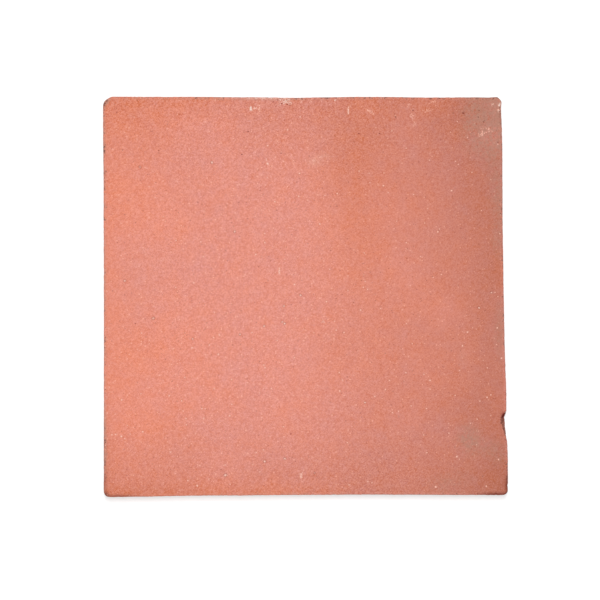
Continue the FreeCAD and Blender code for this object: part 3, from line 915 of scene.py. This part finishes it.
# How much each noise sways the tint, the grain, the dust, the grime, the dirt and the height.
TINT_SWING = {"drift": 0.25, "veil": 0.4}
GRIT_SWING = {"grain": 0.025, "coarse": 0.015, "fine": 0.14}
DUST_SWING = {"grain": 0.02, "fine_veil": 0.05}
VEIL_SWING = {"drift": -0.03, "veil": -0.05}
GRIME_SWING = {"veil": 1.6, "grain": 1.6, "fleck": 2.2}
DIRT_SWING = {"fleck": 1.6}
HEIGHT_SWING = {"veil": 0.6, "grain": 1.0, "coarse": 0.1, "fine": 0.06}

# From which value to which value something shows, and how strongly at most.
GRIME_RAMP = (0.08, 0.62, 0.6)
DIRT_RAMP = (0.35, 0.6, 0.8)
BROKEN_RAMP = (0.35, 0.65)
PALE_RAMP = (1.1, 0.2, 0.6)

# Small dots in the clay's grain: size of their cells, reach and soft edge as shares of a cell, and chances.
DOT_CELL = 1.0
DOT_REACH = 0.45
DOT_EDGE = 0.12
PALE_CHANCE = 0.22
DARK_CHANCE = 0.10
DARK_STRENGTH = 0.3

# The clay's gloss and fine bumps.
ROUGHNESS = 0.82
ROUGHNESS_RANGE = 0.16
SPECULAR = 0.08
BUMP_STRENGTH = 0.2
BUMP_DEPTH = 0.25 * MM


def clay_noises(tree, place):
    """Every noise that the clay's colours and bumps are made of, by name."""
    noises = {name: noise_value(tree, place, *terms) for name, terms in NOISES.items()}
    noises["fine"], noises["fine_veil"], _ = cell_values(tree, place, FINE_CELL)
    noises["coarse"], _, _ = cell_values(tree, place, COARSE_CELL)
    return noises


def fired_clay(tree, noises):
    """Bare clay: pink, orange and dark clouds, the broad dark ones partly painted shade, with fine grain and
    dust.
    """
    tint = calculate(tree, "ADD", attribute_value(tree, "tint"), swing(tree, noises, TINT_SWING))
    clay = mix_colours(tree, tint, PINK_CLAY, ORANGE_CLAY)
    tone = mix_colours(tree, attribute_value(tree, "dark"), FULL_TONE, DARK_TONE)
    toned_and_shaded = add_node(tree, "ShaderNodeVectorMath", {"operation": "MULTIPLY"}, {0: clay, 1: tone})
    shown = attribute_value(tree, "grain")
    grit = calculate(tree, "MULTIPLY", swing(tree, noises, GRIT_SWING), shown)
    grained = add_tone(tree, toned_and_shaded.outputs[0], grit, GRAIN_TONE)
    fine_dust = calculate(tree, "MULTIPLY", swing(tree, noises, DUST_SWING), shown)
    dust = calculate(tree, "ADD", swing(tree, noises, VEIL_SWING), fine_dust)
    return add_tone(tree, grained, dust, VEIL_TONE)


def soiled_and_shaded_clay(tree, noises, clay):
    """The clay with grime and the rim's grey of dirt and painted shade, with dirt and painted shade on the
    arris, and with the chip's broken face.
    """
    patchy = calculate(tree, "ADD", swing(tree, noises, GRIME_SWING), 1.0)
    grime_and_rim_shade = calculate(tree, "MULTIPLY", attribute_value(tree, "grime_and_rim_shade"), patchy)
    rim_shaded_and_grimy = mix_colours(tree, ramp(tree, grime_and_rim_shade, *GRIME_RAMP), clay, GRIME_COLOUR)
    flecks = calculate(tree, "ADD", attribute_value(tree, "dirt"), swing(tree, noises, DIRT_SWING))
    dirty = mix_colours(tree, ramp(tree, flecks, *DIRT_RAMP), rim_shaded_and_grimy, DIRT_COLOUR)
    arris_shaded = mix_colours(tree, attribute_value(tree, "arris_shade"), dirty, ARRIS_SHADE_COLOUR)
    crumbs = mix_colours(tree, ramp(tree, noises["fleck"], *BROKEN_RAMP), BROKEN_DARK, BROKEN_PALE)
    return mix_colours(tree, attribute_value(tree, "broken"), arris_shaded, crumbs)


def round_dots(tree, lot, distance, chance):
    """Small round dots in the middle of those cells whose lot is among the highest."""
    reach = ramp(tree, lot, 1.0 - chance, 1.0, DOT_REACH)
    return ramp(tree, calculate(tree, "SUBTRACT", reach, distance), 0.0, DOT_EDGE)


def speckled_clay(tree, place, clay):
    """The clay with its fine dots, and with the pits, sand and lime of its specks."""
    pale_lot, dark_lot, distance = cell_values(tree, place, DOT_CELL)
    pits = calculate(tree, "MULTIPLY", round_dots(tree, dark_lot, distance, DARK_CHANCE), DARK_STRENGTH)
    # Dark pits and dots, with painted shadow around grains and at the chip's end.
    soot = calculate(tree, "MAXIMUM", pits, attribute_value(tree, "soot"))
    pitted = mix_colours(tree, soot, clay, DARK_AND_SHADE_COLOUR)
    shown = ramp(tree, attribute_value(tree, "dark"), *PALE_RAMP)
    grains = calculate(tree, "MULTIPLY", round_dots(tree, pale_lot, distance, PALE_CHANCE), shown)
    sand = calculate(tree, "MAXIMUM", grains, attribute_value(tree, "sand"))
    sandy = mix_colours(tree, sand, pitted, SAND_COLOUR)
    return mix_colours(tree, attribute_value(tree, "lime"), sandy, LIME_COLOUR)


def terracotta():
    """Fired clay with clouds of colour, sandy grain, dirt, painted shade and shadow, specks and a rough
    broken face.
    """
    material = bpy.data.materials.new("terracotta")
    material.use_nodes = True
    tree = material.node_tree
    shader = tree.nodes["Principled BSDF"]
    place = add_node(tree, "ShaderNodeTexCoord").outputs["Object"]
    noises = clay_noises(tree, place)
    soiled_and_shaded = soiled_and_shaded_clay(tree, noises, fired_clay(tree, noises))
    tree.links.new(speckled_clay(tree, place, soiled_and_shaded), shader.inputs["Base Color"])

    uneven = calculate(tree, "MULTIPLY", noises["grain"], ROUGHNESS_RANGE)
    tree.links.new(calculate(tree, "ADD", uneven, ROUGHNESS), shader.inputs["Roughness"])
    shader.inputs["Specular IOR Level"].default_value = SPECULAR

    height = swing(tree, noises, HEIGHT_SWING)
    bumps = {"Strength": BUMP_STRENGTH, "Distance": BUMP_DEPTH, "Height": height}
    bump = add_node(tree, "ShaderNodeBump", inputs=bumps)
    tree.links.new(bump.outputs["Normal"], shader.inputs["Normal"])
    return material


# The stage: a floor a hair below the tile, white to the camera, that still takes the tile's shadow.
FLOOR_HALF = 6.0
FLOOR_DROP = 0.05 * MM
FLOOR_SEEN = 0.47
FLOOR_GLOW = 0.64
FLOOR_BOUNCE = 0.8


def seen_directly(tree):
    """1 for what the camera sees, straight or by gloss or glass, and 0 for light that bounces."""
    rays = add_node(tree, "ShaderNodeLightPath").outputs
    shiny = calculate(tree, "MAXIMUM", rays["Is Glossy Ray"], rays["Is Transmission Ray"])
    return calculate(tree, "MAXIMUM", rays["Is Camera Ray"], shiny)


def grey(level):
    """An opaque grey."""
    return (level, level, level, 1.0)


def make_floor():
    """A wide floor that is white to the camera and keeps the tile's shadow."""
    mesh = bpy.data.meshes.new("floor")
    signs = ((-1, -1), (1, -1), (1, 1), (-1, 1))
    corners = [(x * FLOOR_HALF, y * FLOOR_HALF, -FLOOR_DROP) for x, y in signs]
    mesh.from_pydata(corners, [], [(0, 1, 2, 3)])
    floor = bpy.data.objects.new("floor", mesh)
    bpy.context.scene.collection.objects.link(floor)

    material = bpy.data.materials.new("white_floor")
    material.use_nodes = True
    tree = material.node_tree
    tree.nodes.remove(tree.nodes["Principled BSDF"])
    bounce = add_node(tree, "ShaderNodeBsdfDiffuse", inputs={"Color": grey(FLOOR_BOUNCE)})
    lit = add_node(tree, "ShaderNodeBsdfDiffuse", inputs={"Color": grey(FLOOR_SEEN)})
    glow = add_node(tree, "ShaderNodeEmission", inputs={"Strength": FLOOR_GLOW})
    shown = add_node(tree, "ShaderNodeAddShader", inputs={0: lit.outputs[0], 1: glow.outputs[0]})
    chosen = add_node(tree, "ShaderNodeMixShader",
                      inputs={0: seen_directly(tree), 1: bounce.outputs[0], 2: shown.outputs[0]})
    tree.links.new(chosen.outputs[0], tree.nodes["Material Output"].inputs["Surface"])
    mesh.materials.append(material)
    return floor


# The light: a soft lamp almost overhead, a little behind the tile, in an even white room.
LAMP_DISTANCE = 2.5
LAMP_TILT = math.radians(6.0)
LAMP_WIDTH = 0.2
LAMP_LENGTH = 0.44
LAMP_SHARE = 0.72
ROOM_SHARE = 0.28


def light_stage():
    """A lamp that gives a white floor its share of white, and a room that gives it the rest."""
    lamp = bpy.data.lights.new("overhead_lamp", "AREA")
    lamp.shape = "RECTANGLE"
    lamp.size = LAMP_WIDTH
    lamp.size_y = LAMP_LENGTH
    lamp.energy = LAMP_SHARE * (math.pi * LAMP_DISTANCE) ** 2 / math.cos(LAMP_TILT)
    holder = bpy.data.objects.new("overhead_lamp", lamp)
    holder.location = (0.0, LAMP_DISTANCE * math.sin(LAMP_TILT), LAMP_DISTANCE * math.cos(LAMP_TILT))
    holder.rotation_euler = (-LAMP_TILT, 0.0, 0.0)
    bpy.context.scene.collection.objects.link(holder)

    world = bpy.data.worlds.new("white_room")
    world.use_nodes = True
    tree = world.node_tree
    background = tree.nodes["Background"]
    background.inputs["Color"].default_value = grey(1.0)
    shown = calculate(tree, "MULTIPLY", seen_directly(tree), 1.0 - ROOM_SHARE)
    tree.links.new(calculate(tree, "ADD", shown, ROOM_SHARE), background.inputs["Strength"])
    bpy.context.scene.world = world


# The camera: straight above, with the photograph's framing at the wear face.
CAMERA_HEIGHT = 2.0
CAMERA_X = -2.90
CAMERA_Y = -1.68
CAMERA_ROLL = math.radians(-0.08)
FRAME_WIDTH = 298.9
SENSOR = 36.0


def place_camera(wear_level):
    """A camera whose frame is as wide at the wear face as the photograph's."""
    camera = bpy.data.cameras.new("camera")
    camera.sensor_width = SENSOR
    camera.lens = SENSOR * CAMERA_HEIGHT / (FRAME_WIDTH * MM)
    holder = bpy.data.objects.new("camera", camera)
    holder.location = (CAMERA_X * MM, CAMERA_Y * MM, wear_level + CAMERA_HEIGHT)
    holder.rotation_euler = (0.0, 0.0, CAMERA_ROLL)
    bpy.context.scene.collection.objects.link(holder)
    bpy.context.scene.camera = holder


slab = Slab(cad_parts["tile"])
slab.stain()
slab.press()
tile = slab.make_object("terracotta_tile")
tile.data.materials.append(terracotta())
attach(tile, "root")
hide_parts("tile")

make_floor()
light_stage()
place_camera(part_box("tile")[1].z)
bpy.context.scene.view_settings.view_transform = "Standard"
